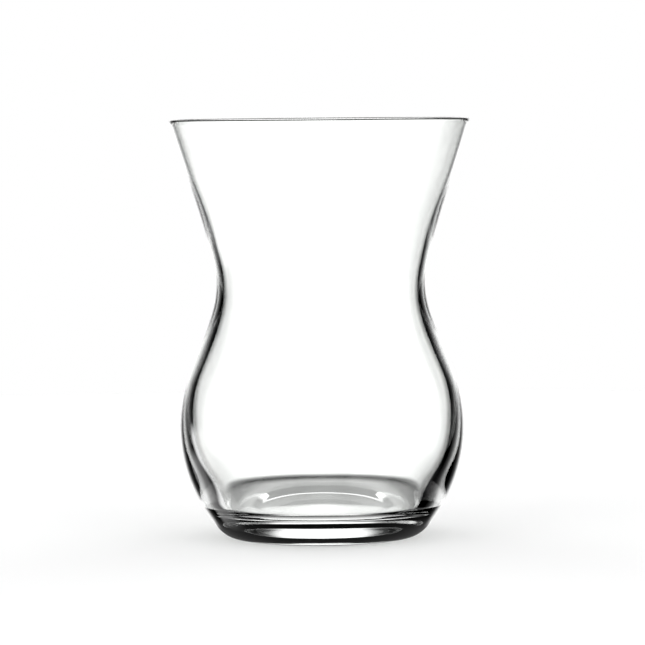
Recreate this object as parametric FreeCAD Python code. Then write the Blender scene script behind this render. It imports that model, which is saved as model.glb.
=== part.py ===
import FreeCAD, Part
import os

from FreeCAD import Vector

# A clear tea glass with a slim waist: one piece of glass, turned about the Z axis.
# Millimetres. +Z is up and the foot ring stands on z = 0, centred on the axis.

# --- driving dimensions -----------------------------------------------------
HEIGHT = 90.0

# outer wall: (height, outer radius), from the heel up to the lip
OUTER_WALL = [
    (6.0, 25.4),    # top of the heel
    (12.0, 28.45),
    (18.0, 30.1),
    (24.5, 30.6),   # widest part of the belly
    (33.0, 29.25),  # shoulder, turning inwards
    (40.0, 26.75),
    (47.0, 24.0),
    (54.5, 22.55),  # waist
    (63.0, 24.05),  # foot of the flare
    (76.0, 28.0),
    (HEIGHT, 32.5),  # lip
]
OUTER_SLOPES = (0.66, 0.34)  # change of radius per mm of height, at the heel and at the lip

# how thick the wall is, measured level: (height, thickness)
WALL_THICKNESS = [
    (8.6, 4.5),     # over the corner of the floor
    (16.0, 3.4),
    (24.0, 2.65),
    (34.0, 2.35),
    (43.0, 2.55),   # a little thicker under the waist, where the glass was drawn in
    (54.5, 1.65),
    (64.0, 1.6),
    (76.0, 0.98),
    (HEIGHT, 0.85),
]
THICKNESS_SLOPES = (-0.09, -0.03)  # change of thickness per mm of height, at both ends

FLOOR_HEIGHT = 6.6     # the inside floor, at the axis
FLOOR_DISH = 0.25      # the floor's rim stands this much higher than its middle
FLOOR_RADIUS = 14.0    # where the floor starts to curve up into the wall

FOOT_INNER = 14.6      # the flat ring that the glass stands on
FOOT_OUTER = 18.6
PUNT_DEPTH = 1.5       # hollow under the foot, at the axis

HEEL_REACH = (3.2, 3.2)    # how long the heel's curve follows the foot and the wall
FLOOR_REACH = (3.5, 3.0)   # the same where the floor meets the inner wall
STATIONS_INSIDE = 28       # heights at which the inner wall is set off from the outer one

GLASS_DENSITY = 2.5    # grams per cubic centimetre


def point(radius, height):
    """A point of the outline, which lies in the XZ plane."""
    return Vector(radius, 0, height)


def smooth_curve(stations, slopes):
    """Radius as a smooth function of height: its parameter is the height itself."""
    curve = Part.BSplineCurve()
    curve.interpolate(
        Points=[point(value, height) for height, value in stations],
        Parameters=[height for height, _ in stations],
        InitialTangent=Vector(slopes[0], 0, 1),
        FinalTangent=Vector(slopes[1], 0, 1),
        Scale=False,
    )
    return curve


def direction(curve, height):
    """The unit tangent of a wall at a height, pointing up."""
    return curve.tangent(height)[0]


def bend(start, start_direction, end, end_direction, reach):
    """A curve that leaves start and enters end in the given directions."""
    curve = Part.BezierCurve()
    curve.setPoles([
        start,
        start + start_direction * reach[0],
        end - end_direction * reach[1],
        end,
    ])
    return curve.toShape()


def heights(low, high, count):
    """Evenly spaced heights, both ends included."""
    return [low + (high - low) * i / (count - 1) for i in range(count)]


def walls():
    """The outer and the inner wall as curves over the height."""
    outer = smooth_curve(OUTER_WALL, OUTER_SLOPES)
    thickness = smooth_curve(WALL_THICKNESS, THICKNESS_SLOPES)
    stations = []
    for height in heights(WALL_THICKNESS[0][0], HEIGHT, STATIONS_INSIDE):
        radius = outer.value(height).x - thickness.value(height).x
        stations.append((height, radius))
    low, high = stations[0][0], HEIGHT
    slopes = [
        direction(outer, h).x / direction(outer, h).z - slope
        for h, slope in zip((low, high), THICKNESS_SLOPES)
    ]
    return outer, smooth_curve(stations, slopes)


def lip(outer, inner):
    """The fire-polished edge: a half-round over the thickness of the wall."""
    lip_height = HEIGHT - WALL_THICKNESS[-1][1] / 2
    inside = inner.value(lip_height)
    outside = outer.value(lip_height)
    crest = point((inside.x + outside.x) / 2, HEIGHT)
    return Part.Arc(inside, crest, outside).toShape(), lip_height


def outline():
    """The closed half section of the glass, from the axis round to the axis."""
    outer, inner = walls()
    edge, lip_height = lip(outer, inner)
    wall_foot = WALL_THICKNESS[0][0]
    heel_top = OUTER_WALL[0][0]

    punt_top = point(0, PUNT_DEPTH)
    floor_middle = point(0, FLOOR_HEIGHT)
    floor_rim = point(FLOOR_RADIUS, FLOOR_HEIGHT + FLOOR_DISH)
    level = Vector(1, 0, 0)
    floor_slope = Vector(FLOOR_RADIUS, 0, 2 * FLOOR_DISH).normalize()

    axis = Part.LineSegment(punt_top, floor_middle).toShape()
    floor = bend(floor_middle, level, floor_rim, floor_slope,
                 (FLOOR_RADIUS / 3, FLOOR_RADIUS / 3))
    floor_corner = bend(floor_rim, floor_slope, inner.value(wall_foot),
                        direction(inner, wall_foot), FLOOR_REACH)
    inner_wall = inner.toShape(wall_foot, lip_height)
    outer_wall = outer.toShape(heel_top, lip_height)
    heel = bend(point(FOOT_OUTER, 0), level, outer.value(heel_top),
                direction(outer, heel_top), HEEL_REACH)
    foot = Part.LineSegment(point(FOOT_INNER, 0), point(FOOT_OUTER, 0)).toShape()
    punt_slope = Vector(FOOT_INNER, 0, -2 * PUNT_DEPTH).normalize()
    punt = bend(punt_top, level, point(FOOT_INNER, 0), punt_slope,
                (FOOT_INNER / 3, FOOT_INNER / 3))

    edges = [axis, floor, floor_corner, inner_wall, edge, outer_wall, heel, foot, punt]
    return Part.Wire(Part.sortEdges(edges)[0])


def tea_glass():
    """The outline turned once round the axis."""
    half_section = Part.Face(outline())
    glass = half_section.revolve(Vector(0, 0, 0), Vector(0, 0, 1), 360)
    if glass.ShapeType != "Solid":
        glass = glass.Solids[0]
    return glass


def report(shape):
    """Prints what the glass measures."""
    box = shape.optimalBoundingBox()
    cubic_cm = shape.Volume / 1000
    print("height %.2f, width %.2f" % (box.ZLength, box.XLength))
    print("valid %s, glass %.2f cm3, %.1f g" % (
        shape.isValid(), cubic_cm, cubic_cm * GLASS_DENSITY))


os.makedirs("parts", exist_ok=True)
glass = tea_glass()
report(glass)
glass.exportStep("parts/tea_glass.step")
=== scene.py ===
# %% [markdown]
# # A slim-waisted tea glass, in clear soda-lime glass
#
# The part is one piece of glass: a thick base with a shallow hollow under it, a round belly, a narrow
# waist and a flared mouth. Glass has hardly any colour of its own, so what the eye sees is where its
# surfaces bend the light from. This lesson therefore has three parts: the exact shape of both walls,
# a plain glass, and a light set with a bright panel and dark sides, which is how clear glass is shown
# on white.
#
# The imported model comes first. It fixes the size, the place and the axes, and nothing here moves it.

# %% Load the frame
import math

import bmesh
import bpy
import numpy as np
from mathutils import Matrix, Vector


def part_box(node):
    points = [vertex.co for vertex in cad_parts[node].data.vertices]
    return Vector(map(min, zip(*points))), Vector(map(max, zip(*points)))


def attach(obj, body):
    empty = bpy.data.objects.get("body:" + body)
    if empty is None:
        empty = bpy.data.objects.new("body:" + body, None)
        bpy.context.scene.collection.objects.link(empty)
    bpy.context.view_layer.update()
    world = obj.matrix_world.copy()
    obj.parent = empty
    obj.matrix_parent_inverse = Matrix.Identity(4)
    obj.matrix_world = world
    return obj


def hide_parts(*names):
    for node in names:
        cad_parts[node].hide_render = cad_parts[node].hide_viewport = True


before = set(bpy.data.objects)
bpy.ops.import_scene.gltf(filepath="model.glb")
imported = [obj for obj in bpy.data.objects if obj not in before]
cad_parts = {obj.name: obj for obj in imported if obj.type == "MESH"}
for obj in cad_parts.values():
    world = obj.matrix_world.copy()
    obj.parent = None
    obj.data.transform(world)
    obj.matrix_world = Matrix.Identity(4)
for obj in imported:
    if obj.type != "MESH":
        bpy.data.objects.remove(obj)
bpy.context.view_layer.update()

GLASS_LOW, GLASS_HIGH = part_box("tea_glass")
HEIGHT_MM = (GLASS_HIGH[2] - GLASS_LOW[2]) * 1000
MM = 0.001
scene = bpy.context.scene
print("the glass is %.1f mm tall" % HEIGHT_MM)

# %% [markdown]
# ## The outline
#
# A glass like this is pressed and spun, so every level cut is a pair of circles and one half section
# says it all. The section could be drawn by hand as a long list of points, but the walls are smooth
# curves, and the way they bend light shows every kink. So the outer wall is a spline through the few
# radii that matter, heel, belly, shoulder, waist, flare and lip, and the inner wall is that spline
# less a thickness, itself a spline: thick at the base, thin at the lip. They are the same dimensions
# as in the solid model.

# %% Driving dimensions, in millimetres
WAIST_HEIGHT = 54.5
OUTER_WALL = [
    (6.0, 25.4),    # top of the heel
    (12.0, 28.45),
    (18.0, 30.1),
    (24.5, 30.6),   # widest part of the belly
    (33.0, 29.25),  # shoulder, turning inwards
    (40.0, 26.75),
    (47.0, 24.0),
    (WAIST_HEIGHT, 22.55),
    (63.0, 24.05),  # foot of the flare
    (76.0, 28.0),
    (90.0, 32.5),   # lip
]
OUTER_SLOPES = (0.66, 0.34)
WALL_THICKNESS = [
    (8.6, 4.5),     # over the corner of the floor
    (16.0, 3.4),
    (24.0, 2.65),
    (34.0, 2.35),
    (43.0, 2.55),   # a little thicker under the waist, where the glass was drawn in
    (WAIST_HEIGHT, 1.65),
    (64.0, 1.6),
    (76.0, 0.98),
    (90.0, 0.85),
]
THICKNESS_SLOPES = (-0.09, -0.03)
FLOOR_HEIGHT = 6.6
FLOOR_DISH = 0.25
FLOOR_RADIUS = 14.0
FOOT_INNER = 14.6
FOOT_OUTER = 18.6
PUNT_DEPTH = 1.5
HEEL_REACH = (3.2, 3.2)    # how long the heel's curve follows the foot and the wall
FLOOR_REACH = (3.5, 3.0)   # the same where the floor meets the inner wall

WALL_POINTS = 90           # points of the section along each wall
BEND_POINTS = 26           # along the heel, and along the corner of the floor
SHALLOW_POINTS = 16        # along the floor, and along the hollow under the foot
LIP_POINTS = 13            # round the lip, both ends included


# %% A smooth curve through a few stations
def spline(stations, slopes):
    """Value as a cubic spline of height, with given slopes at both ends."""
    heights, values = np.array(stations, dtype=float).T
    steps = np.diff(heights)
    rises = np.diff(values) / steps
    count = len(heights)
    system = np.eye(count)
    wanted = np.zeros(count)
    wanted[0], wanted[-1] = slopes
    for i in range(1, count - 1):
        before, after = steps[i - 1], steps[i]
        system[i, i - 1:i + 2] = after, 2 * (before + after), before
        wanted[i] = 3 * (after * rises[i - 1] + before * rises[i])
    tangents = np.linalg.solve(system, wanted)

    def value(height):
        height = np.asarray(height, dtype=float)
        i = np.clip(np.searchsorted(heights, height, side="right") - 1, 0, count - 2)
        step = steps[i]
        u = (height - heights[i]) / step
        return (
            (1 + 2 * u) * (1 - u) ** 2 * values[i]
            + u * (1 - u) ** 2 * step * tangents[i]
            + u * u * (3 - 2 * u) * values[i + 1]
            + u * u * (u - 1) * step * tangents[i + 1]
        )

    return value


def slope(curve, height, step=0.001):
    """How fast a wall's radius grows with height."""
    return float(curve(height + step) - curve(height - step)) / (2 * step)


outer_wall = spline(OUTER_WALL, OUTER_SLOPES)
wall_thickness = spline(WALL_THICKNESS, THICKNESS_SLOPES)


def inner_wall(height):
    return outer_wall(height) - wall_thickness(height)


print("inner radius at the waist %.2f mm" % inner_wall(WAIST_HEIGHT))


# %% Bends where two runs meet
def bend(start, start_way, end, end_way, reach, count):
    """Points of a Bezier curve that leaves start and enters end in given directions."""
    start, end = np.array(start, dtype=float), np.array(end, dtype=float)
    way_out = np.array(start_way) / np.linalg.norm(start_way)
    way_in = np.array(end_way) / np.linalg.norm(end_way)
    first, second = start + way_out * reach[0], end - way_in * reach[1]
    s = np.linspace(0, 1, count)[:, None]
    return (
        (1 - s) ** 3 * start + 3 * (1 - s) ** 2 * s * first
        + 3 * (1 - s) * s * s * second + s ** 3 * end
    )


def half_section():
    """The whole outline, from the middle of the floor over the lip to under the base."""
    wall_foot, heel_top = WALL_THICKNESS[0][0], OUTER_WALL[0][0]
    lip_thickness = WALL_THICKNESS[-1][1]
    lip_height = HEIGHT_MM - lip_thickness / 2

    level = (1, 0)
    floor_rim = (FLOOR_RADIUS, FLOOR_HEIGHT + FLOOR_DISH)
    floor_way = (FLOOR_RADIUS, 2 * FLOOR_DISH)
    third = (FLOOR_RADIUS / 3, FLOOR_RADIUS / 3)
    floor = bend((0, FLOOR_HEIGHT), level, floor_rim, floor_way, third,
                 SHALLOW_POINTS)
    corner = bend(floor_rim, floor_way, (float(inner_wall(wall_foot)), wall_foot),
                  (slope(inner_wall, wall_foot), 1), FLOOR_REACH, BEND_POINTS)

    rising = np.linspace(wall_foot, lip_height, WALL_POINTS)
    inside = np.column_stack([inner_wall(rising), rising])
    falling = np.linspace(lip_height, heel_top, WALL_POINTS)
    outside = np.column_stack([outer_wall(falling), falling])

    middle = (inside[-1] + outside[0]) / 2
    turn = np.linspace(math.pi, 0, LIP_POINTS)[1:-1]
    half_width = (outside[0] - inside[-1])[0] / 2
    lip = np.column_stack([
        middle[0] + half_width * np.cos(turn),
        lip_height + lip_thickness / 2 * np.sin(turn),
    ])

    heel = bend((FOOT_OUTER, 0), level, (float(outer_wall(heel_top)), heel_top),
                (slope(outer_wall, heel_top), 1), HEEL_REACH, BEND_POINTS)[::-1]
    foot = np.array([((FOOT_INNER + FOOT_OUTER) / 2, 0.0)])
    third = (FOOT_INNER / 3, FOOT_INNER / 3)
    punt = bend((0, PUNT_DEPTH), level, (FOOT_INNER, 0), (FOOT_INNER, -2 * PUNT_DEPTH),
                third, SHALLOW_POINTS)[::-1]
    return np.vstack([floor, corner[1:], inside[1:], lip, outside, heel[1:], foot, punt])


section = half_section()
print("the section has %d points" % len(section))

# %% [markdown]
# ## The lathe
#
# The wall follows a rule, one section turned round the axis, so Geometry Nodes make it. A Screw
# modifier could turn it too, but leaves the seam and the two poles open. The tree below lays out a
# grid, one column for each step of the turn and one row for each point of the section. It looks up
# the point, bends the grid round the axis, and then welds the seam and the poles. A closed skin
# matters more here than anywhere: a renderer counts each surface that a ray of light meets, and a
# hairline gap would let light out of the glass.


# %% One helper for every node
def add(tree, kind, links=None, **settings):
    """Adds a node, sets its properties, and feeds its inputs by name or number."""
    node = tree.nodes.new(kind)
    for name, value in settings.items():
        setattr(node, name, value)
    for socket, source in (links or {}).items():
        if isinstance(source, bpy.types.NodeSocket):
            tree.links.new(source, node.inputs[socket])
        else:
            node.inputs[socket].default_value = source
    return node


def maths(tree, operation, *values):
    """A Math node's result."""
    return add(tree, "ShaderNodeMath", dict(enumerate(values)), operation=operation).outputs[0]


# %% The tree that turns a section into a skin
def lathe_tree():
    tree = bpy.data.node_groups.new("lathe", "GeometryNodeTree")
    for name, kind in (("Section", "Geometry"), ("Steps", "Int"), ("Weld", "Float"),
                       ("Finish", "Material")):
        tree.interface.new_socket(name, in_out="INPUT", socket_type="NodeSocket" + kind)
    tree.interface.new_socket("Skin", in_out="OUTPUT", socket_type="NodeSocketGeometry")
    given = add(tree, "NodeGroupInput").outputs

    points = add(tree, "GeometryNodeAttributeDomainSize", {"Geometry": given["Section"]},
                 component="MESH").outputs["Point Count"]
    columns = maths(tree, "ADD", given["Steps"], 1)
    grid = add(tree, "GeometryNodeMeshGrid", {
        "Size X": 1.0, "Size Y": 1.0, "Vertices X": columns, "Vertices Y": points})

    place = add(tree, "GeometryNodeInputPosition").outputs[0]
    across = add(tree, "ShaderNodeSeparateXYZ", {0: place}).outputs
    angle = maths(tree, "MULTIPLY", maths(tree, "ADD", across[0], 0.5), 2 * math.pi)
    last = maths(tree, "SUBTRACT", points, 1)
    row = maths(tree, "ROUND", maths(tree, "MULTIPLY", maths(tree, "ADD", across[1], 0.5), last))
    found = add(tree, "GeometryNodeSampleIndex", {
        "Geometry": given["Section"], "Value": place, "Index": row},
        data_type="FLOAT_VECTOR", domain="POINT")
    radius_height = add(tree, "ShaderNodeSeparateXYZ", {0: found.outputs[0]}).outputs

    turned = add(tree, "ShaderNodeCombineXYZ", {
        0: maths(tree, "MULTIPLY", radius_height[0], maths(tree, "COSINE", angle)),
        1: maths(tree, "MULTIPLY", radius_height[0], maths(tree, "SINE", angle)),
        2: radius_height[2],
    })
    skin = add(tree, "GeometryNodeSetPosition", {
        "Geometry": grid.outputs["Mesh"], "Position": turned.outputs[0]})
    welded = add(tree, "GeometryNodeMergeByDistance", {
        "Geometry": skin.outputs[0], "Distance": given["Weld"]})
    smooth = add(tree, "GeometryNodeSetShadeSmooth", {"Geometry": welded.outputs[0]})
    real = add(tree, "GeometryNodeRealizeInstances", {"Geometry": smooth.outputs[0]})
    finished = add(tree, "GeometryNodeSetMaterial", {
        "Geometry": real.outputs[0], "Material": given["Finish"]})
    add(tree, "NodeGroupOutput", {"Skin": finished.outputs[0]})
    return tree


lathe = lathe_tree()
print("the lathe has %d nodes" % len(lathe.nodes))

# %% [markdown]
# ## The glass
#
# Pressed soda-lime glass bends light by an index of 1.52. It is fire-polished, so its roughness is
# nothing that the eye can see, and iron in the sand leaves the faintest green. Pressing and spinning
# don't leave it flat to a hair: the skin swells and sinks by a few hundredths of a millimetre over a
# centimetre or two, and that is what makes the dark lines in a real glass waver. A slow noise does
# it, through a Bump node, which tilts the surface that the light meets without moving it.
#
# One trick is for the shadow. A renderer treats glass as opaque to lamp light unless it traces
# caustics, so the shadow of a clear glass would be black. For shadow rays only, the glass is a
# slightly grey film, and the floor keeps a faint shadow, as glass gives in broad soft light.


# %% Colours are written as hex and turned linear by one function
def colour(code):
    """An sRGB hex code as linear RGBA."""
    parts = [int(code[i:i + 2], 16) / 255 for i in (1, 3, 5)]
    return [p / 12.92 if p <= 0.04045 else ((p + 0.055) / 1.055) ** 2.4 for p in parts] + [1.0]


GLASS_TINT = "#FDFEFD"     # a trace of iron green, per surface
SHADOW_FILM = "#F6F7F6"    # what shadow rays lose at each surface
GLASS_IOR = 1.52
SWELL_WIDTH = 14.0         # mm from one swell of the skin to the next
SWELL_HEIGHT = 0.03        # mm between its tops and hollows


# %% Fire-polished soda-lime glass
def soda_lime_glass():
    finish = bpy.data.materials.new("fire_polished_soda_lime_glass")
    finish.use_nodes = True
    tree = finish.node_tree
    tree.nodes.clear()
    here = add(tree, "ShaderNodeTexCoord").outputs["Object"]
    swell = add(tree, "ShaderNodeTexNoise", {
        "Vector": here, "Scale": 1 / (SWELL_WIDTH * MM), "Detail": 1.0, "Roughness": 0.4})
    skin = add(tree, "ShaderNodeBump", {
        "Height": swell.outputs[0], "Distance": SWELL_HEIGHT * MM, "Strength": 1.0})
    glass = add(tree, "ShaderNodeBsdfPrincipled", {
        "Base Color": colour(GLASS_TINT), "Roughness": 0.0, "IOR": GLASS_IOR,
        "Transmission Weight": 1.0, "Normal": skin.outputs[0]})
    film = add(tree, "ShaderNodeBsdfTransparent", {"Color": colour(SHADOW_FILM)})
    ray = add(tree, "ShaderNodeLightPath").outputs
    choice = add(tree, "ShaderNodeMixShader", {
        0: ray["Is Shadow Ray"], 1: glass.outputs[0], 2: film.outputs[0]})
    add(tree, "ShaderNodeOutputMaterial", {0: choice.outputs[0]})
    return finish


glass_finish = soda_lime_glass()
print("finish:", glass_finish.name)


# %% [markdown]
# ## Turning the piece
#
# The section becomes a chain of edges, the lathe's modifier turns it, and the result is kept as a plain
# mesh, because what leaves this scene is the mesh and not the recipe. Its faces are then turned
# outwards, and its open edges and its volume are counted and printed.

# %% Turn the section and keep the mesh
TURN_STEPS = 320
WELD_DISTANCE = 0.002 * MM


def section_object():
    """The outline as a chain of edges in the XZ plane."""
    chain = bpy.data.meshes.new("section")
    places = [(r * MM, 0.0, z * MM) for r, z in section]
    links = [(i, i + 1) for i in range(len(places) - 1)]
    chain.from_pydata(places, links, [])
    piece = bpy.data.objects.new("section", chain)
    scene.collection.objects.link(piece)
    return piece


def turn(piece):
    """Runs the lathe on the section and returns the skin as a plain mesh."""
    modifier = piece.modifiers.new("lathe", "NODES")
    modifier.node_group = lathe
    names = {s.name: s.identifier for s in lathe.interface.items_tree if s.in_out == "INPUT"}
    modifier[names["Steps"]] = TURN_STEPS
    modifier[names["Weld"]] = WELD_DISTANCE
    modifier[names["Finish"]] = glass_finish
    graph = bpy.context.evaluated_depsgraph_get()
    skin = bpy.data.meshes.new_from_object(piece.evaluated_get(graph), depsgraph=graph)
    bpy.data.objects.remove(piece)
    return skin


def face_outwards(mesh):
    """Makes every face point out of the glass, and measures it."""
    work = bmesh.new()
    work.from_mesh(mesh)
    bmesh.ops.recalc_face_normals(work, faces=work.faces)
    if work.calc_volume(signed=True) < 0:
        bmesh.ops.reverse_faces(work, faces=work.faces)
    open_edges = sum(1 for edge in work.edges if not edge.is_manifold)
    volume = work.calc_volume(signed=True) * 1e6
    work.to_mesh(mesh)
    work.free()
    return open_edges, volume


skin = turn(section_object())
open_edges, volume = face_outwards(skin)
tea_glass_skin = bpy.data.objects.new("tea_glass_skin", skin)
scene.collection.objects.link(tea_glass_skin)
triangles = sum(len(face.vertices) - 2 for face in skin.polygons)
print("%d triangles, %d open edges, %.2f cm3 of glass" % (triangles, open_edges, volume))

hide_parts("tea_glass")
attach(tea_glass_skin, "root")

# %% [markdown]
# ## The light set
#
# Clear glass on white is shown by what is dark. Where a wall is seen edge on, it bends the eye's line
# far to the side, so a bright panel straight behind the glass and darkness beside it draw each wall
# as a dark line that fades inwards. In a studio the panel is a lit sheet and the darkness is black
# card just out of view. Here the world does both, as brightness by direction, so the same light meets
# the glass from wherever it is looked at: panels at the four sides and at the front right corner, and
# one hung low at the back left corner, for a look down into the glass. It is dark between them and
# far below. What the camera sees directly is plain white, and so is what lights the floor.

# %% Brightness by direction, in degrees
PANEL_BRIGHTNESS = [  # heading, counted from straight behind the glass round to the front
    (0, 1.45), (14, 1.42), (17, 1.25), (19, 1.0), (21.5, 0.55), (24.5, 0.22), (28, 0.08),
    (33, 0.0), (57, 0.0), (62, 0.12), (68.5, 0.55), (71, 1.0), (76, 1.4), (104, 1.4),
    (109, 1.0), (111.5, 0.55), (118, 0.12), (124, 0.0), (146, 0.0), (152, 0.1),
    (158.5, 0.55), (161, 1.0), (166, 1.4), (180, 1.4),
]
LEVEL_BRIGHTNESS = [(-90, 0.0), (-34, 0.0), (-25, 0.3), (-19, 0.75), (-14, 1.0), (60, 1.0), (75, 0.5),
                    (90, 0.3)]
CORNER_PANELS = [  # heading, where left of straight behind is negative, and level
    ([(-180, 0), (-64, 0), (-56, 1), (-39, 1), (-34, 0), (180, 0)],
     [(-90, 0), (-46, 0), (-38, 1), (-14, 1), (-10, 0), (90, 0)]),
    ([(-180, 0), (112, 0), (119, 1.3), (151, 1.3), (158, 0), (180, 0)],
     [(-90, 0), (-46, 0), (-38, 1), (20, 1), (40, 0), (90, 0)]),
]
FLOOR_LIGHT = 1.05  # what lights the matt floor


def profile(tree, value, stops):
    """A curve of brightness through (value, brightness) stops."""
    low, high = stops[0][0], stops[-1][0]
    scaled = add(tree, "ShaderNodeMapRange", {0: value, 1: float(low), 2: float(high)})
    ramp = add(tree, "ShaderNodeValToRGB", {0: scaled.outputs[0]})
    elements = ramp.color_ramp.elements
    elements.remove(elements[1])
    for i, (stop, level) in enumerate(stops):
        place = (stop - low) / (high - low)
        element = elements[0] if i == 0 else elements.new(place)
        element.position = place
        element.color = (level, level, level, 1)
    return ramp.outputs[0]


def degrees(tree, angle):
    return maths(tree, "MULTIPLY", angle, 180 / math.pi)


# %% The world
def light_set():
    world = bpy.data.worlds.new("bright_field")
    world.use_nodes = True
    tree = world.node_tree
    tree.nodes.clear()
    way = add(tree, "ShaderNodeTexCoord").outputs["Generated"]
    x, y, z = add(tree, "ShaderNodeSeparateXYZ", {0: way}).outputs
    heading = degrees(tree, maths(tree, "ARCTAN2", maths(tree, "ABSOLUTE", x), y))
    level = degrees(tree, maths(tree, "ARCSINE", z))
    glow = maths(tree, "MULTIPLY", profile(tree, heading, PANEL_BRIGHTNESS),
                 profile(tree, level, LEVEL_BRIGHTNESS))
    side_heading = degrees(tree, maths(tree, "ARCTAN2", x, y))
    for headings, levels in CORNER_PANELS:
        panel = maths(tree, "MULTIPLY", profile(tree, side_heading, headings),
                      profile(tree, level, levels))
        glow = maths(tree, "MAXIMUM", glow, panel)

    around = add(tree, "ShaderNodeBackground", {"Color": glow})
    floor_light = add(tree, "ShaderNodeBackground", {"Strength": FLOOR_LIGHT, "Color": (1, 1, 1, 1)})
    white = add(tree, "ShaderNodeBackground", {"Strength": 1.0, "Color": (1, 1, 1, 1)})
    ray = add(tree, "ShaderNodeLightPath").outputs
    lit = add(tree, "ShaderNodeMixShader", {
        0: ray["Is Diffuse Ray"], 1: around.outputs[0], 2: floor_light.outputs[0]})
    seen = add(tree, "ShaderNodeMixShader", {
        0: ray["Is Camera Ray"], 1: lit.outputs[0], 2: white.outputs[0]})
    add(tree, "ShaderNodeOutputWorld", {0: seen.outputs[0]})
    scene.world = world
    return world


print("world:", light_set().name)

# %% [markdown]
# ## The floor
#
# A pale matt floor, so bright under this light that it runs into the white behind it, and only the soft
# shadow shows where it is. Rays that come through or off the glass don't see that lit card but painted
# light: a bright disc of floor under the hollow, painted as if lit through the glass, and round it a
# painted shadow ring where the heel would shade the floor. Beyond that ring the floor lets the glass
# look through to the light set, which carries on below the horizon.

# %% The floor and its finish
DISC_RADIUS = 0.4       # metres
DISC_SIDES = 96
GAP_UNDER_GLASS = 0.01  # mm, so that the foot and the floor are never the same surface
FLOOR_COLOUR = "#F9F9F9"
# painted light and painted shadow that the glass shows of the floor, as (metres from the axis, value)
PAINTED_LIGHT_AND_SHADOW_UNDER_GLASS = [(0.0, 1.0), (0.013, 1.0), (0.017, 0.6), (0.02, 0.15), (DISC_RADIUS, 0.15)]
OPEN_BEYOND = [(0.0, 0), (0.024, 0), (0.028, 1), (DISC_RADIUS, 1)]


def floor_finish():
    finish = bpy.data.materials.new("matt_white_card_painted_light_and_shadow_under_glass")
    finish.use_nodes = True
    tree = finish.node_tree
    tree.nodes.clear()
    here = add(tree, "ShaderNodeTexCoord").outputs["Object"]
    radius = add(tree, "ShaderNodeVectorMath", {0: here}, operation="LENGTH").outputs["Value"]
    card = add(tree, "ShaderNodeBsdfDiffuse", {0: colour(FLOOR_COLOUR)})
    # emission by radius: a painted bright disc under the hollow and a painted shadow ring round the
    # heel
    painted_light_and_shadow = add(tree, "ShaderNodeEmission", {0: profile(tree, radius, PAINTED_LIGHT_AND_SHADOW_UNDER_GLASS)})
    through = add(tree, "ShaderNodeBsdfTransparent")
    near = add(tree, "ShaderNodeMixShader", {
        0: profile(tree, radius, OPEN_BEYOND), 1: painted_light_and_shadow.outputs[0], 2: through.outputs[0]})
    ray = add(tree, "ShaderNodeLightPath").outputs
    in_glass = maths(tree, "MAXIMUM", ray["Is Transmission Ray"], ray["Is Glossy Ray"])
    choice = add(tree, "ShaderNodeMixShader", {0: in_glass, 1: card.outputs[0], 2: near.outputs[0]})
    add(tree, "ShaderNodeOutputMaterial", {0: choice.outputs[0]})
    return finish


def floor():
    mesh = bpy.data.meshes.new("floor")
    work = bmesh.new()
    bmesh.ops.create_circle(work, cap_ends=True, radius=DISC_RADIUS, segments=DISC_SIDES)
    work.to_mesh(mesh)
    work.free()
    mesh.materials.append(floor_finish())
    disc = bpy.data.objects.new("floor", mesh)
    disc.location = (0, 0, GLASS_LOW[2] - GAP_UNDER_GLASS * MM)
    scene.collection.objects.link(disc)
    return disc


print("floor at z = %.5f m" % floor().location.z)

# %% [markdown]
# ## The camera
#
# A long lens, a little above the rim and tilted down by a few degrees: the mouth closes to a line and
# the foot shows as a shallow curve. The camera is rolled by half a degree, so the glass leans a little,
# as it does in front of a camera that was held by eye.

# %% The camera
CAMERA_DISTANCE = 0.8          # metres from the axis
CAMERA_ABOVE_RIM = 0.3         # degrees, seen from the rim
CAMERA_TILT = 3.44             # degrees below level
CAMERA_ROLL = 0.5              # degrees
CAMERA_SIDESTEP = 0.0003       # metres
FIELD_OF_VIEW = 9.906          # degrees


def camera():
    data = bpy.data.cameras.new("camera")
    data.angle = math.radians(FIELD_OF_VIEW)
    rig = bpy.data.objects.new("camera", data)
    scene.collection.objects.link(rig)
    height = GLASS_HIGH[2] + CAMERA_DISTANCE * math.tan(math.radians(CAMERA_ABOVE_RIM))
    place = Matrix.Translation(Vector((CAMERA_SIDESTEP, -CAMERA_DISTANCE, height)))
    tilt = Matrix.Rotation(math.radians(90 - CAMERA_TILT), 4, "X")
    roll = Matrix.Rotation(math.radians(-CAMERA_ROLL), 4, "Z")
    rig.matrix_world = place @ tilt @ roll
    scene.camera = rig
    return rig


print("camera at", tuple(round(v, 4) for v in camera().location))
scene.view_settings.view_transform = "Standard"
